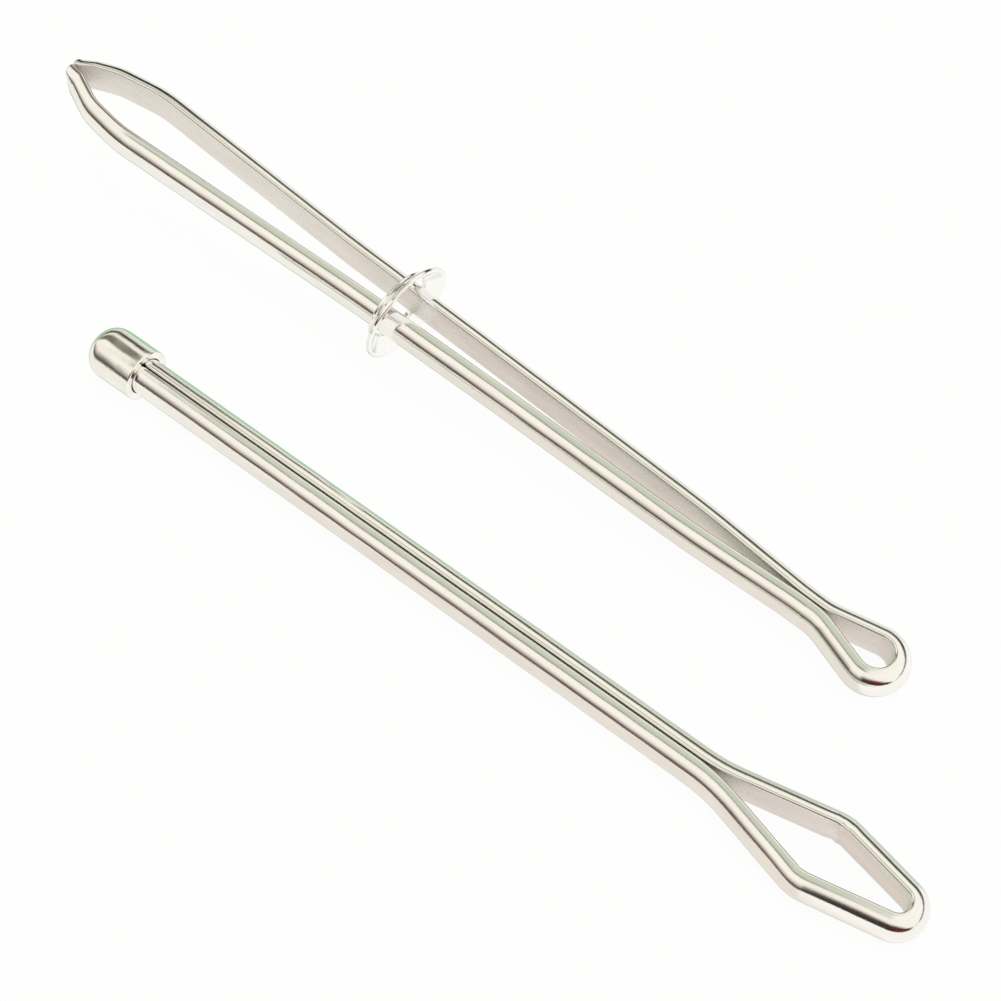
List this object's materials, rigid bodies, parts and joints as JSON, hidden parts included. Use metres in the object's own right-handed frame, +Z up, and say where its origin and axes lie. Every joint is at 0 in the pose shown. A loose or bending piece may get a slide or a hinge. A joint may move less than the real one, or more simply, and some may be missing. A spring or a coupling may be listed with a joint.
{
  "type": "cord and elastic threader set",
  "caption": "Two plated-wire threaders: a long spring tweezer with a sliding flared ring, and a capped double rod with a diamond eye, for pulling elastic through casings.",
  "frame": {"origin": "centre of the set's bounding box in plan, on the surface the tools lie on", "axes": "+X from the gripping tip and the capped end towards the two looped ends, +Y towards the spring threader, +Z up"},
  "size_m": [0.0946, 0.0232, 0.0086],
  "materials": {
    "plated_spring_wire": "polished nickel plate over steel wire, slightly satin flat faces",
    "plated_ring": "polished nickel plate over pressed metal",
    "plated_eye_wire": "polished nickel plate over steel wire, slightly satin flat faces",
    "plated_cap": "polished nickel plate over drawn metal"
  },
  "bodies": {
    "spring_bow": {"spring_bow": "plated_spring_wire"},
    "arm_far": {"arm_far": "plated_spring_wire"},
    "arm_near": {"arm_near": "plated_spring_wire"},
    "slide_ring": {"slide_ring": "plated_ring"},
    "eye_tool": {"eye_wire": "plated_eye_wire", "end_cap": "plated_cap"}
  },
  "joints": [
    {"name": "ring_slide", "type": "slide", "parent": "spring_bow", "child": "slide_ring", "axis": [0.9981, -0.0166, -0.0596], "range_m": [0, 0.03]},
    {"name": "arm_far_flex", "type": "hinge", "parent": "spring_bow", "child": "arm_far", "pos_m": [0.02733, 0.00742, 0.00204], "axis": [-0.0596, 0.001, -0.9982], "range_deg": [0, 2.07]},
    {"name": "arm_near_flex", "type": "hinge", "parent": "spring_bow", "child": "arm_near", "pos_m": [0.02731, 0.0059, 0.00204], "axis": [0.0596, -0.001, 0.9982], "range_deg": [0, 2.07]},
    {"name": "eye_tool_lift", "type": "slide", "parent": "spring_bow", "child": "eye_tool", "axis": [0, 0, 1], "range_m": [0, 0.03]}
  ],
  "couplings": [
    {"joint": "arm_far_flex", "follows": "ring_slide", "rad_per_m": 1.2},
    {"joint": "arm_near_flex", "follows": "ring_slide", "rad_per_m": 1.2}
  ]
}
